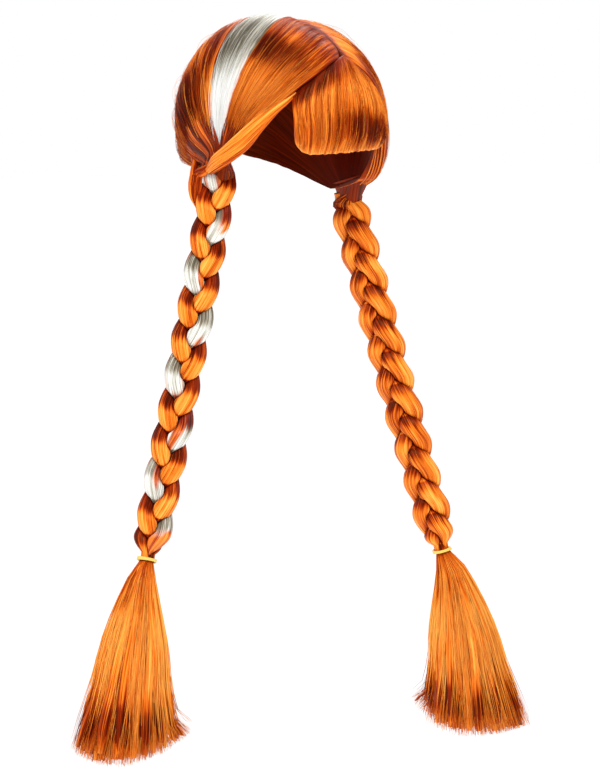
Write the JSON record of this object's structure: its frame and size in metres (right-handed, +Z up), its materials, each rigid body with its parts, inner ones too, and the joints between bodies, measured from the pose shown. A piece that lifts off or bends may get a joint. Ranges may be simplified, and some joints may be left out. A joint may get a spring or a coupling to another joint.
{
  "type": "pigtail wig",
  "caption": "Wig of parted, swept hair with a full fringe and a pale stripe, gathered beside the ears into plaits tied with elastic bands above loose ends.",
  "frame": {"origin": "highest point of the head room inside the hair, where the crown of a head touches", "axes": "+Z up through the crown of the head; the wearer looks along -Y; the wearer's right side is -X"},
  "size_m": [0.5028, 0.2183, 0.6935],
  "materials": {
    "hair": "glossy orange synthetic hair",
    "pale_hair": "glossy white synthetic hair",
    "elastic": "matt yellow elastic"
  },
  "bodies": {
    "root": {"front_sweep": "hair", "streak_lock": "pale_hair", "crown_right": "hair", "crown_left": "hair", "fringe": "hair", "front_lock": "hair", "loop_lock": "hair", "gather_right": "hair", "gather_left": "hair", "plait_right_strand_1": "pale_hair", "plait_right_strand_2": "hair", "plait_right_strand_3": "hair", "plait_left_strand_1": "hair", "plait_left_strand_2": "hair", "plait_left_strand_3": "hair", "band_right": "elastic", "band_left": "elastic", "tassel_right": "hair", "tassel_left": "hair"}
  },
  "joints": []
}
